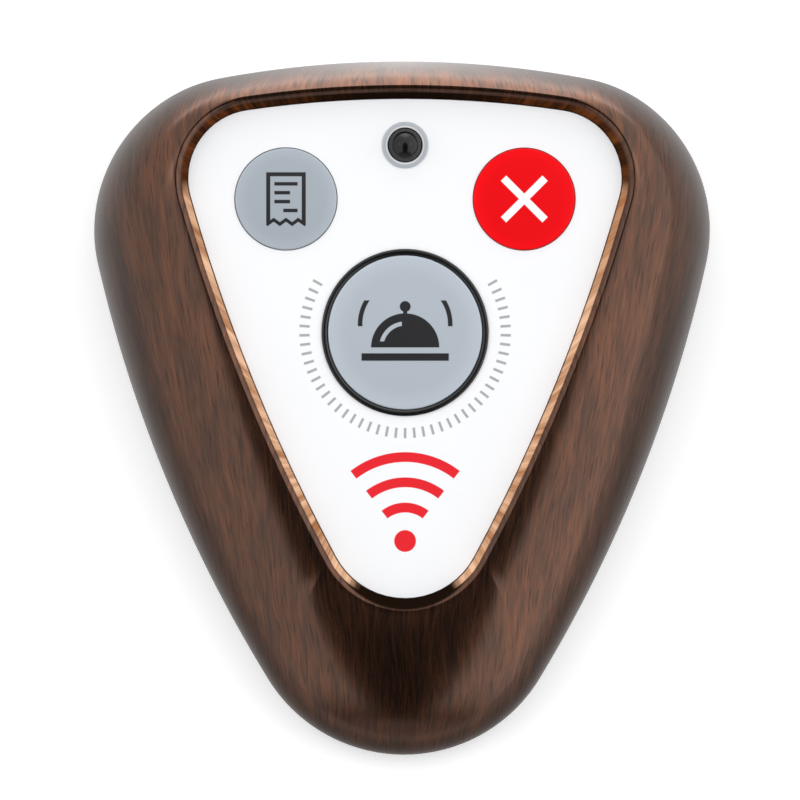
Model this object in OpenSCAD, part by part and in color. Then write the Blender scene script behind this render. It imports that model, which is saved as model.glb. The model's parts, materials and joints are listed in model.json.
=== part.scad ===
// Waiter call button: a wedge-shaped table bell with three keys on a tilted, recessed panel.
// Millimetres. X is to the right, Y to the wide back end, Z up, and the feet stand on Z = 0.
// Panel pieces are drawn in the rim plane: their Z is the height over that plane, so inside is negative.

/* [Housing] */
// Width of the housing across its back corners
body_w = 92; // [88:1:98]
// Length of the housing from front to back
body_l = 103; // [100:1:110]
// Radius of the two back corners, seen from above
body_corner_r = 22; // [20:0.5:24]
// Radius of the front end, seen from above
body_front_r = 23.5; // [21:0.5:25]
// Radius of the bowed sides
body_side_r = 210; // [180:5:300]
// Radius of the bowed back
body_back_r = 145; // [130:5:220]
// Height of the panel rim over the table, at the middle of the panel
rim_h = 23.3; // [23:0.1:27]
// Wall of the top shell
shell_wall = 2; // [1.6:0.1:2.2]
// Part of a quarter ellipse that the side of the shell covers, in degrees
skin_arc = 78; // [74:1:82]

/* [Panel opening] */
// Tilt of the panel towards the person at the table, in degrees
panel_tilt = 10; // [8:0.5:11]
// Distance of the panel's middle in front of the housing's back edge
panel_inset = 45.5; // [44.5:0.25:46.5]
// Width of the panel opening
panel_w = 63.8; // [62:0.2:66]
// Length of the panel opening
panel_l = 73.4; // [71:0.2:75]
// Radius of the opening's back corners
panel_corner_r = 10.2; // [8:0.2:11]
// Radius of the opening's front corner
panel_front_r = 11.6; // [9:0.2:12]
// Radius of the opening's bowed sides
panel_side_r = 260; // [240:10:400]
// Radius of the opening's bowed back
panel_back_r = 160; // [120:5:180]
// Depth of the panel face below the rim
recess_depth = 2; // [1.6:0.1:2.4]
// Width of the sloped recess wall, seen along the panel's normal
recess_slope_w = 1.15; // [0.8:0.05:1.4]
// Width of the rounded edge between the recess wall and the outer skin
rim_round_w = 0.7; // [0.4:0.1:1]
// Thickness of the recess lip where it meets the carrier
lip_t = 1.6; // [1.3:0.1:1.8]

/* [Panel and carrier] */
// Thickness of the white face panel
panel_t = 1.2; // [1:0.1:1.6]
// Gap between the face panel and the recess wall
panel_gap = 0.15; // [0.1:0.05:0.3]
// Thickness of the carrier plate behind the face panel
carrier_t = 1.8; // [1.5:0.1:2.4]
// How far the carrier reaches out past the panel opening
carrier_flange = 1.5; // [1.2:0.1:1.6]
// Height of the carrier's collars and rim rib
collar_h = 2.4; // [1.8:0.1:2.6]
// Wall of the carrier's collars and rim rib
collar_t = 1; // [0.8:0.1:1.2]
// Diameter of the carrier's posts, which stand on the circuit board
post_d = 4; // [3:0.25:4.5]

/* [Keys] */
// Diameter of the large service key
service_key_d = 22.6; // [21:0.2:23.4]
// Diameter of the two small keys
side_key_d = 14.9; // [13.6:0.1:15.5]
// Distance of the service key in front of (-) or behind (+) the panel's middle
service_key_y = 2.35; // [1:0.05:3]
// Distance of each small key from the middle line
side_key_x = 17.45; // [17.2:0.05:18.2]
// Distance of the small keys behind the panel's middle
side_key_y = 21.9; // [21.6:0.1:22.6]
// Height of a key's edge over the face panel
key_rise = 0.3; // [0.2:0.05:0.6]
// Extra height of a key's crowned middle
key_crown = 0.3; // [0:0.05:0.4]
// Radius of a key's upper edge
key_edge_r = 0.25; // [0.1:0.05:0.3]
// Thickness of a key's top
key_top_t = 1.4; // [1.2:0.1:1.8]
// Wall of a key's skirt
key_skirt_t = 1.1; // [0.9:0.1:1.5]
// Gap between a key and the hole or ring that it runs in
key_gap = 0.12; // [0.1:0.01:0.2]
// How far a key's retaining flange reaches out
key_flange_w = 1.2; // [0.8:0.1:1.4]
// Thickness of a key's retaining flange
key_flange_t = 1; // [0.8:0.1:1.2]
// Diameter of the stem that presses a switch
stem_d = 3.2; // [2.6:0.1:4]
// How far the stem stands out under the flange
stem_rise = 0.9; // [0.8:0.1:1.4]
// How far a key travels
key_travel = 0.4; // [0.2:0.05:0.5]
// Play between a key's flange and the carrier, or a pressed key and its stop
key_play = 0.1; // [0.05:0.05:0.2]

/* [Ring and indicator] */
// Width of the black ring round the service key
service_ring_w = 0.83; // [0.7:0.01:1.1]
// Height of the black ring over the face panel
service_ring_rise = 0.35; // [0.2:0.05:0.6]
// Wall of the ring's sleeve in the face panel
sleeve_t = 0.43; // [0.35:0.01:0.6]
// Clearance between a sleeve and its hole
sleeve_gap = 0.03; // [0.02:0.01:0.08]
// Diameter of the indicator lamp
led_d = 5; // [4.6:0.1:5.4]
// Distance of the lamp behind the panel's middle
led_y = 29.8; // [29:0.1:30.4]
// Height of the lamp's dome over the face panel
led_rise = 2.1; // [1.6:0.1:2.4]
// Length of the lamp from dome to flange
led_l = 8.6; // [8:0.1:9]
// Width of the lamp's flange
led_flange_w = 0.4; // [0.3:0.05:0.5]
// Thickness of the lamp's flange
led_flange_t = 1; // [0.8:0.1:1.2]
// Outer diameter of the pale ring round the lamp
led_ring_d = 6.84; // [6.6:0.02:7.6]
// Height of the pale ring over the face panel
led_ring_rise = 0.25; // [0.15:0.05:0.4]
// Clearance round the lamp
led_gap = 0.06; // [0.05:0.01:0.1]
// Thickness of a lamp leg
led_leg_d = 0.5; // [0.4:0.05:0.6]
// Distance between the lamp's legs
led_leg_pitch = 2.54; // [2.2:0.02:2.6]

/* [Switches and board] */
// Width of a switch body
switch_w = 6; // [5.6:0.1:6.6]
// Height of a switch body with its cover plate
switch_body_h = 3.5; // [3.2:0.1:3.6]
// Thickness of a switch's cover plate
switch_plate_t = 0.3; // [0.2:0.05:0.4]
// Height of a switch's plunger over the circuit board
switch_h = 4.3; // [4.1:0.1:5]
// Diameter of a switch's plunger
plunger_d = 3.4; // [3:0.1:3.6]
// How deep a plunger sits in its switch
plunger_seat = 0.8; // [0.6:0.1:1]
// Clearance round a plunger
plunger_gap = 0.08; // [0.05:0.01:0.1]
// Thickness of the circuit board
board_t = 1.6; // [1.2:0.2:1.6]
// How far the board's edge lies inside the panel opening
board_inset = 3; // [2.5:0.25:3.5]
// Distance of the board's front edge in front of the panel's middle
board_front_y = 24; // [23.5:0.25:25]
// Distance of the front board screws from the middle line
board_screw_x = 27.5; // [27:0.25:28.5]
// Distance of the front board screws in front of the panel's middle
board_screw_y = 4; // [3:0.25:6]
// Distance of the back board screws from the middle line
board_back_screw_x = 36.8; // [36.4:0.1:37.2]
// Distance of the back board screws behind the panel's middle
board_back_screw_y = 22; // [21:0.25:23]
// Diameter of the shell's bosses for the circuit board
board_boss_d = 4.8; // [4.4:0.1:5]
// Diameter of the board screws
board_screw_d = 2; // [1.8:0.1:2.2]
// Length of the board screws under the head
board_screw_l = 6; // [5:0.5:6]

/* [Case screws and feet] */
// Distance of the back case screws from the middle line
case_screw_x = 35; // [34.5:0.25:35.5]
// Distance of the back case screws in front of the housing's back edge
case_screw_back_inset = 11; // [10.5:0.25:11.5]
// Distance of the front case screw in front of the middle of the housing
case_screw_front_y = 36; // [35.5:0.25:37]
// Diameter of the shell's bosses for the case screws
case_boss_d = 6; // [5.6:0.1:6.4]
// Diameter of the case screws
case_screw_d = 2.6; // [2.2:0.1:3]
// Length of the case screws under the head
case_screw_l = 8; // [7:0.5:9]
// Thickness of the web that braces a boss
gusset_t = 1; // [0.8:0.1:1.2]
// How far a web reaches out from its boss
gusset_w = 2; // [1.5:0.1:2.5]
// Diameter of the rubber feet
foot_d = 9; // [8:0.25:10]
// How far the feet stand out under the base
foot_rise = 0.8; // [0.6:0.1:1]
// Depth of the seats that hold the feet
foot_seat = 0.8; // [0.6:0.1:1.2]
// Distance of the back feet from the middle line
foot_x = 36.5; // [35.5:0.25:37]
// Distance of the back feet in front of the housing's back edge
foot_back_inset = 22.5; // [21.5:0.25:23.5]
// Distance of the front foot behind the housing's front edge
foot_front_inset = 7; // [6.5:0.25:7.25]

/* [Base] */
// Thickness of the base at its edge
floor_t = 3.4; // [3.3:0.1:4]
// How far the base's edge stands back from the shell
base_inset = 0.4; // [0.2:0.1:0.8]
// Height and width of the step round the base's lower edge
edge_step = 0.6; // [0.4:0.1:1]
// Height of the lip that locates the shell on the base
locating_lip_h = 2; // [1.4:0.1:2.2]
// Wall of that lip
locating_lip_t = 1.2; // [1:0.1:1.4]
// Clearance between that lip and the shell
locating_gap = 0.6; // [0.5:0.05:0.9]
// Height of the base's stiffening ribs
base_rib_h = 1.2; // [0.8:0.1:1.4]
// Thickness of the base's stiffening ribs
base_rib_t = 1; // [0.8:0.1:1.4]
// Distance between the base's stiffening ribs
base_rib_pitch = 11; // [9:0.5:12]

/* [Battery and door] */
// Diameter of the battery
battery_d = 10.3; // [10:0.1:10.5]
// Length of the battery with its button
battery_l = 28.5; // [27.5:0.1:29]
// Distance of the battery's middle in front of the housing's back edge
battery_inset = 15.5; // [15:0.25:16]
// Inner length of the battery bay
bay_l = 36.4; // [36:0.2:37.2]
// Room beside the battery in its bay
bay_room = 0.65; // [0.5:0.05:0.8]
// Wall of the battery bay
bay_wall = 1.2; // [1:0.1:1.4]
// Height of the battery bay's wall over the floor
bay_h = 5.8; // [4.5:0.1:6.5]
// Thickness of the contact plates
contact_t = 0.4; // [0.3:0.05:0.5]
// Width of the contact plates
contact_w = 8; // [6:0.2:8.6]
// Thickness of the battery spring's wire
spring_wire_d = 0.6; // [0.5:0.05:0.8]
// Turns of the battery spring
spring_turns = 4; // [3:1:5]
// Width of the battery door without its runners
door_w = 38.8; // [38.4:0.2:40]
// Thickness of the battery door
door_t = 2; // [1.8:0.1:2]
// Width of the runners along the door's sides
runner_w = 0.8; // [0.6:0.1:1]
// Thickness of the runners
runner_t = 1; // [0.8:0.1:1.1]
// Clearance round the battery door
door_gap = 0.15; // [0.12:0.01:0.2]
// How far the door reaches in front of the battery's middle
door_reach = 8; // [7.5:0.25:9]
// How far the door slides out
door_travel = 20; // [15:1:20]
// Grooves for the thumb under the door
grip_grooves = 4; // [2:1:5]

/* [Radio] */
// Turns of the antenna coil
antenna_turns = 9; // [6:1:10]
// Distance from one antenna turn to the next
antenna_pitch = 2; // [1.8:0.1:2.2]
// Radius of the antenna coil at the middle of its wire
antenna_r = 1.9; // [1.5:0.1:2]
// Thickness of the antenna's wire
antenna_wire_d = 0.6; // [0.5:0.1:0.8]
// Distance of the antenna in front of the panel's middle
antenna_y = 20.4; // [20:0.1:20.8]
// Length of the radio chip
chip_l = 8.7; // [8:0.1:9.5]
// Width of the radio chip's body
chip_w = 3.9; // [3.6:0.1:4.2]
// Diameter of the resonator can
can_d = 9; // [8:0.2:9.4]
// Height of the resonator can
can_h = 3; // [2.4:0.1:3.4]
// Length of the crystal can
crystal_l = 10.4; // [9:0.2:11]
// Width of the crystal can
crystal_w = 3.8; // [3.4:0.1:4.2]

/* [Hidden] */
$fn = 48;
// Steps along half of the front arc, a side, a corner and half of the back
arc_steps = [9, 12, 17, 7];
skin_steps = 9;
inner_steps = 7;
round_steps = 4;
seat_gap = 0.05;
wire_sides = 6;
turn_steps = 12;

body_shape = [body_w, body_l, body_corner_r, body_front_r, body_side_r, body_back_r];
panel_shape = [panel_w, panel_l, panel_corner_r, panel_front_r, panel_side_r, panel_back_r];

// Depths below the rim plane
lip_depth = recess_depth + panel_t;
carrier_depth = lip_depth + carrier_t;
flange_depth = carrier_depth + key_play;
skirt_depth = flange_depth + key_flange_t;
plunger_depth = skirt_depth + stem_rise;
board_depth = plunger_depth + switch_h;
board_under = board_depth + board_t;

// Heights over the table
shell_z = foot_rise + floor_t;
door_z = foot_rise + door_gap / 2;
door_top_z = door_z + door_t;
door_roof_z = door_top_z + door_gap;
battery_z = door_top_z + 2 * door_gap + battery_d / 2;
well_head_z = shell_z - floor_t / 3;

rim_offset = recess_slope_w + rim_round_w;
service_key_r = service_key_d / 2;
side_key_r = side_key_d / 2;
ring_inner_r = service_key_r + key_gap;
ring_seat_r = ring_inner_r + sleeve_t;
led_ring_inner_r = led_d / 2 + led_gap;
led_seat_r = led_ring_inner_r + sleeve_t;
led_base_depth = recess_depth - led_rise + led_l;
post_places = [[side_key_x, service_key_y + 3.5], [-side_key_x, service_key_y + 3.5], [0, -13.5]];
key_places = [[0, service_key_y], [-side_key_x, side_key_y], [side_key_x, side_key_y]];
board_screw_places = [
  for (side = [-1, 1])
    for (p = [[board_screw_x, -board_screw_y], [board_back_screw_x, board_back_screw_y]])
      [side * p[0], p[1]]
];

// Places from the housing's front and back edges
panel_shift = body_l / 2 - panel_inset;
battery_y = body_l / 2 - battery_inset;
case_screw_back_y = body_l / 2 - case_screw_back_inset;
case_screw_places = [
  [case_screw_x, case_screw_back_y],
  [-case_screw_x, case_screw_back_y],
  [0, -case_screw_front_y]
];
foot_back_y = body_l / 2 - foot_back_inset;
foot_places = [[foot_x, foot_back_y], [-foot_x, foot_back_y], [0, foot_front_inset - body_l / 2]];

bay_half_w = battery_d / 2 + bay_room;
locating_inset = shell_wall + locating_gap;
contact_foot_z = shell_z + 0.3;
plus_x = -bay_l / 2 + 1.6;
minus_x = bay_l / 2 - contact_t - seat_gap;
battery_x = plus_x + contact_t + seat_gap;
pilot = 0.84;

// --- Rounded triangle: a front arc, two bowed sides, two corner arcs and a bowed back, all tangent ---

function corner_centre(s) =
  let (x = s[0] / 2 - s[2], back_y = s[1] / 2 - s[5])
  [x, back_y + sqrt(pow(s[5] - s[2], 2) - x * x)];

function front_centre(s) = [0, s[3] - s[1] / 2];

function back_centre(s) = [0, s[1] / 2 - s[5]];

// Centre of the right side's arc, on the far side of the middle line
function side_centre(s) =
  let (
    p = front_centre(s),
    q = corner_centre(s),
    gap = norm(q - p),
    along = (pow(s[4] - s[3], 2) - pow(s[4] - s[2], 2) + gap * gap) / (2 * gap),
    across = sqrt(pow(s[4] - s[3], 2) - along * along),
    dir = (q - p) / gap
  )
  p + along * dir + across * [-dir[1], dir[0]];

function angle_of(v) = atan2(v[1], v[0]);

// Directions that the right half faces at the ends of its four arcs
function arc_ends(s) = [
  -90,
  angle_of(front_centre(s) - side_centre(s)),
  angle_of(corner_centre(s) - side_centre(s)),
  angle_of(corner_centre(s) - back_centre(s)),
  90
];

// Point where the outline, grown outwards by d, faces the direction a (-90 to 90 degrees)
function right_point(s, a, d) =
  let (
    ends = arc_ends(s),
    centre = a < ends[1] ? front_centre(s)
      : a < ends[2] ? side_centre(s)
      : a < ends[3] ? corner_centre(s)
      : back_centre(s),
    r = a < ends[1] ? s[3] : a < ends[2] ? s[4] : a < ends[3] ? s[2] : s[5]
  )
  centre + (r + d) * [cos(a), sin(a)];

function outline_point(s, a, d) =
  a <= 90 ? right_point(s, a, d) : let (p = right_point(s, 180 - a, d)) [-p[0], p[1]];

// Directions once round from the front; each arc has its own number of steps, so two outlines pair arc by arc
function turns(s) =
  let (
    ends = arc_ends(s),
    right = [
      for (k = [0 : 3])
        for (i = [0 : arc_steps[k] - 1])
          ends[k] + (ends[k + 1] - ends[k]) * i / arc_steps[k]
    ]
  )
  concat(right, [90], [for (i = [len(right) - 1 : -1 : 1]) 180 - right[i]]);

body_turns = turns(body_shape);
panel_turns = turns(panel_shape);
steps = len(body_turns);

function outline(s, d) = [for (a = turns(s)) outline_point(s, a, d)];

// --- Rim plane ---

function from_rim(p) = [
  p[0],
  panel_shift + p[1] * cos(panel_tilt) - p[2] * sin(panel_tilt),
  rim_h + p[1] * sin(panel_tilt) + p[2] * cos(panel_tilt)
];

module on_rim(depth = 0) {
  translate([0, panel_shift, rim_h])
    rotate([panel_tilt, 0, 0])
      translate([0, 0, -depth])
        children();
}

// Point beside the panel opening at step i: d out from it and z over the rim plane
function rim_point(i, d, z) =
  let (p = outline_point(panel_shape, panel_turns[i], d))
  from_rim([p[0], p[1], z]);

// --- Outer skin: at each step round an arc of an ellipse, upright at the base and leaning in to the rim ---

function skin_point(i, phi, inset) =
  let (
    foot = outline_point(body_shape, body_turns[i], 0),
    rim = rim_point(i, rim_offset, 0),
    a = (body_turns[i] + panel_turns[i]) / 2,
    in = (1 - cos(phi)) / (1 - cos(skin_arc)),
    up = sin(phi) / sin(skin_arc),
    half_w = ([foot[0] - rim[0], foot[1] - rim[1]] * [cos(a), sin(a)]) / (1 - cos(skin_arc)),
    half_h = (rim[2] - shell_z) / sin(skin_arc),
    n = [half_h * cos(phi) * cos(a), half_h * cos(phi) * sin(a), half_w * sin(phi)]
  )
  [
    foot[0] + (rim[0] - foot[0]) * in,
    foot[1] + (rim[1] - foot[1]) * in,
    shell_z + (rim[2] - shell_z) * up
  ] - inset * n / norm(n);

// Rounded rim edge at step i: a curve from the recess wall (t = 0) to the outer skin (t = 1)
function rim_round(i, t) =
  let (
    share = 1 - rim_round_w / recess_depth,
    from = [recess_slope_w * share, -recess_depth * (1 - share)],
    over = [recess_slope_w + rim_round_w / 7, rim_round_w / 7],
    to = [rim_offset, 0],
    p = (1 - t) * (1 - t) * from + 2 * t * (1 - t) * over + t * t * to
  )
  rim_point(i, p[0], p[1]);

// The shell's wall at step i, from the lip up over the rim, down the skin and back up inside
function shell_slice(i) = concat(
  [rim_point(i, 0, -lip_depth), rim_point(i, 0, -recess_depth)],
  [for (k = [0 : round_steps - 1]) rim_round(i, k / round_steps)],
  [for (k = [0 : skin_steps]) skin_point(i, skin_arc * (1 - k / skin_steps), 0)],
  [for (k = [0 : inner_steps]) skin_point(i, (skin_arc - 10) * k / inner_steps, shell_wall)],
  [rim_point(i, lip_t, -recess_depth - 0.3), rim_point(i, lip_t, -lip_depth)]
);

// Closed solid through equal slices that go once round
module ring_solid(slices) {
  n = len(slices);
  m = len(slices[0]);
  polyhedron(
    points = [for (slice = slices) for (p = slice) p],
    faces = [
      for (i = [0 : n - 1])
        for (j = [0 : m - 1])
          let (i2 = (i + 1) % n, j2 = (j + 1) % m)
            for (f = [
              [i * m + j, i2 * m + j2, i * m + j2],
              [i * m + j, i2 * m + j, i2 * m + j2]
            ]) f
    ]
  );
}

// The space just under the outer skin, which trims the bosses to the roof
module under_skin() {
  rows = [for (k = [0 : skin_steps - 1]) skin_arc * k / (skin_steps - 1)];
  m = len(rows);
  low = steps * m;
  polyhedron(
    points = concat(
      [for (i = [0 : steps - 1]) for (phi = rows) skin_point(i, phi, shell_wall / 3)],
      [[0, 0, shell_z], from_rim([0, 0, -recess_depth])]
    ),
    faces = [
      for (i = [0 : steps - 1])
        let (i2 = (i + 1) % steps)
          for (f = concat(
            [for (j = [0 : m - 2]) [i * m + j, i * m + j + 1, i2 * m + j + 1]],
            [for (j = [0 : m - 2]) [i * m + j, i2 * m + j + 1, i2 * m + j]],
            [[i * m, i2 * m, low], [i2 * m + m - 1, i * m + m - 1, low + 1]]
          )) f
    ]
  );
}

// A boss with webs on the given sides; it runs from z = 0 up, and under_skin() trims it
module boss(d, h, web_angles) {
  cylinder(d = d, h = h, $fn = 32);
  for (a = web_angles)
    rotate([0, 0, a])
      hull() {
        translate([0, -gusset_t / 2, 0])
          cube([0.1, gusset_t, h]);
        translate([d / 2 + gusset_w, -gusset_t / 2, h / 2])
          cube([0.1, gusset_t, h / 2]);
      }
}

module top_shell() {
  color("saddlebrown")
    difference() {
      union() {
        ring_solid([for (i = [0 : steps - 1]) shell_slice(i)]);
        intersection() {
          under_skin();
          union() {
            for (p = case_screw_places)
              translate([p[0], p[1], shell_z + seat_gap])
                boss(case_boss_d, 2 * rim_h, [angle_of(p), angle_of(p) - 50, angle_of(p) + 50]);
            for (p = board_screw_places)
              on_rim(board_depth - seat_gap)
                translate(p)
                  boss(board_boss_d, 2 * rim_h, [angle_of(p), angle_of(p) - 60, angle_of(p) + 60]);
          }
        }
      }
      for (p = case_screw_places)
        translate([p[0], p[1], 0])
          cylinder(d = case_screw_d * pilot + 0.5, h = shell_z + case_screw_l, $fn = 32);
      for (p = board_screw_places)
        on_rim(board_depth + 1)
          translate(p)
            cylinder(d = board_screw_d * pilot + 0.5, h = board_screw_l + 0.5, $fn = 32);
    }
}

// --- Panel pieces ---

module face_panel() {
  color("white")
    on_rim(lip_depth)
      linear_extrude(panel_t)
        difference() {
          polygon(outline(panel_shape, -panel_gap));
          translate([0, service_key_y])
            circle(r = ring_seat_r + sleeve_gap);
          for (side = [-1, 1])
            translate([side * side_key_x, side_key_y])
              circle(r = side_key_r + key_gap);
          translate([0, led_y])
            circle(r = led_seat_r + sleeve_gap);
        }
}

// Round wall that shrouds a key's flange behind the carrier
module collar(key_r) {
  inner_r = key_r + key_flange_w + 3 * key_gap;
  difference() {
    cylinder(r = inner_r + collar_t, h = collar_h + seat_gap);
    translate([0, 0, -1])
      cylinder(r = inner_r, h = collar_h + 2);
  }
}

module panel_carrier() {
  color("dimgray") {
    on_rim(carrier_depth)
      linear_extrude(carrier_t)
        difference() {
          polygon(outline(panel_shape, carrier_flange));
          translate([0, service_key_y])
            circle(r = service_key_r + key_gap);
          for (side = [-1, 1])
            translate([side * side_key_x, side_key_y])
              circle(r = side_key_r + key_gap);
          translate([0, led_y])
            circle(r = led_d / 2 + led_flange_w);
        }
    on_rim(carrier_depth + collar_h) {
      translate([0, service_key_y])
        collar(service_key_r);
      for (side = [-1, 1])
        translate([side * side_key_x, side_key_y])
          collar(side_key_r);
      linear_extrude(collar_h + seat_gap)
        difference() {
          polygon(outline(panel_shape, -collar_t));
          polygon(outline(panel_shape, -2 * collar_t));
        }
    }
    for (p = post_places)
      on_rim(board_depth)
        translate(p)
          cylinder(d = post_d, h = board_depth - carrier_depth + seat_gap);
  }
}

// Half section of a key: crowned top, straight skirt, retaining flange and a stem in the middle
function key_section(r) =
  let (top = key_rise - recess_depth, crown_steps = 8)
  concat(
    [for (i = [0 : crown_steps - 1])
      let (x = (r - key_edge_r) * i / crown_steps)
        [x, top + key_crown * (1 - pow(x / (r - key_edge_r), 2))]],
    [for (i = [0 : 4])
      [r - key_edge_r + key_edge_r * sin(i * 22.5), top - key_edge_r + key_edge_r * cos(i * 22.5)]],
    [
      [r, -flange_depth],
      [r + key_flange_w, -flange_depth],
      [r + key_flange_w, -skirt_depth],
      [r - key_skirt_t, -skirt_depth],
      [r - key_skirt_t, top - key_top_t],
      [stem_d / 2, top - key_top_t],
      [stem_d / 2, -plunger_depth],
      [0, -plunger_depth]
    ]
  );

module key(r, place) {
  on_rim()
    translate(place)
      rotate_extrude()
        polygon(key_section(r));
}

module service_button() {
  color("silver") key(service_key_r, key_places[0]);
}

module bill_button() {
  color("silver") key(side_key_r, key_places[1]);
}

module cancel_button() {
  color("red") key(side_key_r, key_places[2]);
}

// Ring with a rounded top on the panel and a sleeve down through it
module sleeved_ring(inner_r, outer_r, seat_r, rise) {
  middle = (inner_r + outer_r) / 2;
  half = (outer_r - inner_r) / 2;
  rotate_extrude()
    polygon(concat(
      [[inner_r, -lip_depth], [seat_r, -lip_depth], [seat_r, -recess_depth], [outer_r, -recess_depth]],
      [for (i = [0 : 6])
        [middle + half * cos(i * 30), rise / 2 - recess_depth + rise / 2 * sin(i * 30)]]
    ));
}

module service_ring() {
  color("black")
    on_rim()
      translate([0, service_key_y])
        sleeved_ring(ring_inner_r, ring_inner_r + service_ring_w, ring_seat_r, service_ring_rise);
}

module led_ring() {
  color("lightgray")
    on_rim()
      translate([0, led_y])
        sleeved_ring(led_ring_inner_r, led_ring_d / 2, led_seat_r, led_ring_rise);
}

module indicator_led() {
  color("black")
    on_rim(led_base_depth)
      translate([0, led_y]) {
        cylinder(d = led_d, h = led_l - led_d / 2);
        translate([0, 0, led_l - led_d / 2])
          sphere(d = led_d);
        cylinder(r = led_d / 2 + led_flange_w, h = led_flange_t);
      }
}

module led_spacer() {
  color("dimgray")
    on_rim(board_depth)
      translate([0, led_y])
        difference() {
          cylinder(r = led_d / 2 + led_flange_w, h = board_depth - led_base_depth);
          for (side = [-1, 1])
            translate([side * led_leg_pitch / 2, 0, -1])
              cylinder(d = led_leg_d + 4 * led_gap, h = board_depth);
        }
}

module led_legs() {
  color("silver")
    for (side = [-1, 1])
      on_rim(board_under + 1)
        translate([side * led_leg_pitch / 2, led_y])
          cylinder(d = led_leg_d, h = board_under + 1 - led_base_depth);
}

// --- Board and what stands on it ---

module circuit_board() {
  color("darkgreen")
    on_rim(board_under)
      linear_extrude(board_t)
        difference() {
          union() {
            intersection() {
              polygon(outline(panel_shape, -board_inset));
              translate([-panel_w, -board_front_y])
                square([2 * panel_w, panel_l]);
            }
            for (p = board_screw_places)
              hull() {
                translate(p)
                  circle(d = board_boss_d + 1, $fn = 32);
                translate(p * 0.8)
                  circle(d = board_boss_d + 3, $fn = 32);
              }
          }
          for (p = board_screw_places)
            translate(p)
              circle(d = board_screw_d + 0.4);
          for (side = [-1, 1])
            translate([side * led_leg_pitch / 2, led_y])
              circle(d = led_leg_d + 4 * led_gap);
        }
}

module switch_bodies() {
  color("black")
    for (p = key_places)
      on_rim(board_depth)
        translate(p)
          difference() {
            translate([-switch_w / 2, -switch_w / 2, 0])
              cube([switch_w, switch_w, switch_body_h - switch_plate_t]);
            translate([0, 0, switch_body_h - plunger_seat - key_travel - 2 * key_play])
              cylinder(d = plunger_d + 2 * plunger_gap, h = switch_h);
          }
}

module switch_plates() {
  color("silver")
    for (p = key_places)
      on_rim(board_depth - switch_body_h + switch_plate_t)
        translate(p)
          linear_extrude(switch_plate_t)
            difference() {
              square(switch_w, center = true);
              circle(d = plunger_d + 2 * plunger_gap);
            }
}

module plunger(place) {
  on_rim(board_depth - switch_body_h + plunger_seat)
    translate(place)
      cylinder(d = plunger_d, h = switch_h - switch_body_h + plunger_seat);
}

module service_plunger() {
  color("ivory") plunger(key_places[0]);
}

module bill_plunger() {
  color("ivory") plunger(key_places[1]);
}

module cancel_plunger() {
  color("ivory") plunger(key_places[2]);
}

// Places on the board's underside are drawn with z = 0 at the board and z up, away from the keys
module under_board() {
  on_rim(board_under)
    mirror([0, 0, 1])
      children();
}

module radio_chip() {
  place = [-9, -8, seat_gap];
  chip_h = 1.5;
  chip_lift = 0.1;
  lead_pitch = 1.27;
  lead_w = 0.4;
  lead_l = 1;
  rows = floor(chip_l / lead_pitch);
  color("black")
    under_board()
      translate(place) {
        translate([-chip_l / 2, -chip_w / 2, chip_lift])
          cube([chip_l, chip_w, chip_h]);
        for (i = [0 : rows - 1])
          translate([(i - (rows - 1) / 2) * lead_pitch - lead_w / 2, -chip_w / 2 - lead_l, 0])
            cube([lead_w, chip_w + 2 * lead_l, lead_w]);
      }
}

module resonator_can() {
  place = [9, -6, seat_gap];
  brim_w = 0.5;
  brim_t = 0.5;
  color("silver")
    under_board()
      translate(place) {
        cylinder(d = can_d, h = brim_t);
        cylinder(d = can_d - 2 * brim_w, h = can_h);
      }
}

module crystal_can() {
  place = [0, 6, seat_gap];
  brim_w = 0.4;
  brim_t = 0.5;
  height = 3.4;
  color("silver")
    under_board()
      translate(place) {
        hull()
          for (side = [-1, 1])
            translate([side * (crystal_l - crystal_w) / 2, 0, 0])
              cylinder(d = crystal_w, h = height, $fn = 32);
        hull()
          for (side = [-1, 1])
            translate([side * (crystal_l - crystal_w) / 2, 0, 0])
              cylinder(d = crystal_w + 2 * brim_w, h = brim_t, $fn = 32);
      }
}

module small_components() {
  part_size = [2, 1.25, 0.6];
  columns = 4;
  rows = 2;
  front_y = -20;
  row_pitch = 3;
  column_pitch = 4;
  left_x = -(columns - 1) / 2 * column_pitch - part_size[0] / 2;
  color("tan")
    under_board()
      for (i = [0 : columns - 1])
        for (j = [0 : rows - 1])
          translate([left_x + i * column_pitch, front_y + j * row_pitch, seat_gap])
            cube(part_size);
}

// Tube that winds round the X axis; the radius goes from r0 to r1 and the wire stays as thick
module coil(r0, r1, coil_turns, pitch, wire_d) {
  rings = coil_turns * turn_steps;
  function centre(k) =
    let (a = 360 * k / turn_steps, r = r0 + (r1 - r0) * k / rings)
    [pitch * k / turn_steps, r * sin(a), -r * cos(a)];
  function ring(k) =
    let (
      a = 360 * k / turn_steps,
      out = [0, sin(a), -cos(a)],
      along = centre(k + 1) - centre(k - 1),
      side = cross(along, out) / norm(cross(along, out))
    )
    [for (j = [0 : wire_sides - 1])
      let (b = 360 * j / wire_sides)
        centre(k) + wire_d / 2 * (out * cos(b) + side * sin(b))];
  last = rings * wire_sides;
  polyhedron(
    points = concat(
      [for (k = [0 : rings]) for (p = ring(k)) p],
      [centre(0), centre(rings)]
    ),
    faces = concat(
      [for (k = [0 : rings - 1])
        for (j = [0 : wire_sides - 1])
          let (j2 = (j + 1) % wire_sides, c = k * wire_sides)
            for (f = [
              [c + j, c + j2, c + wire_sides + j2],
              [c + j, c + wire_sides + j2, c + wire_sides + j]
            ]) f],
      [for (j = [0 : wire_sides - 1])
        let (j2 = (j + 1) % wire_sides, end = last + wire_sides)
          for (f = [[j2, j, end], [last + j, last + j2, end + 1]]) f]
    )
  );
}

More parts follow.
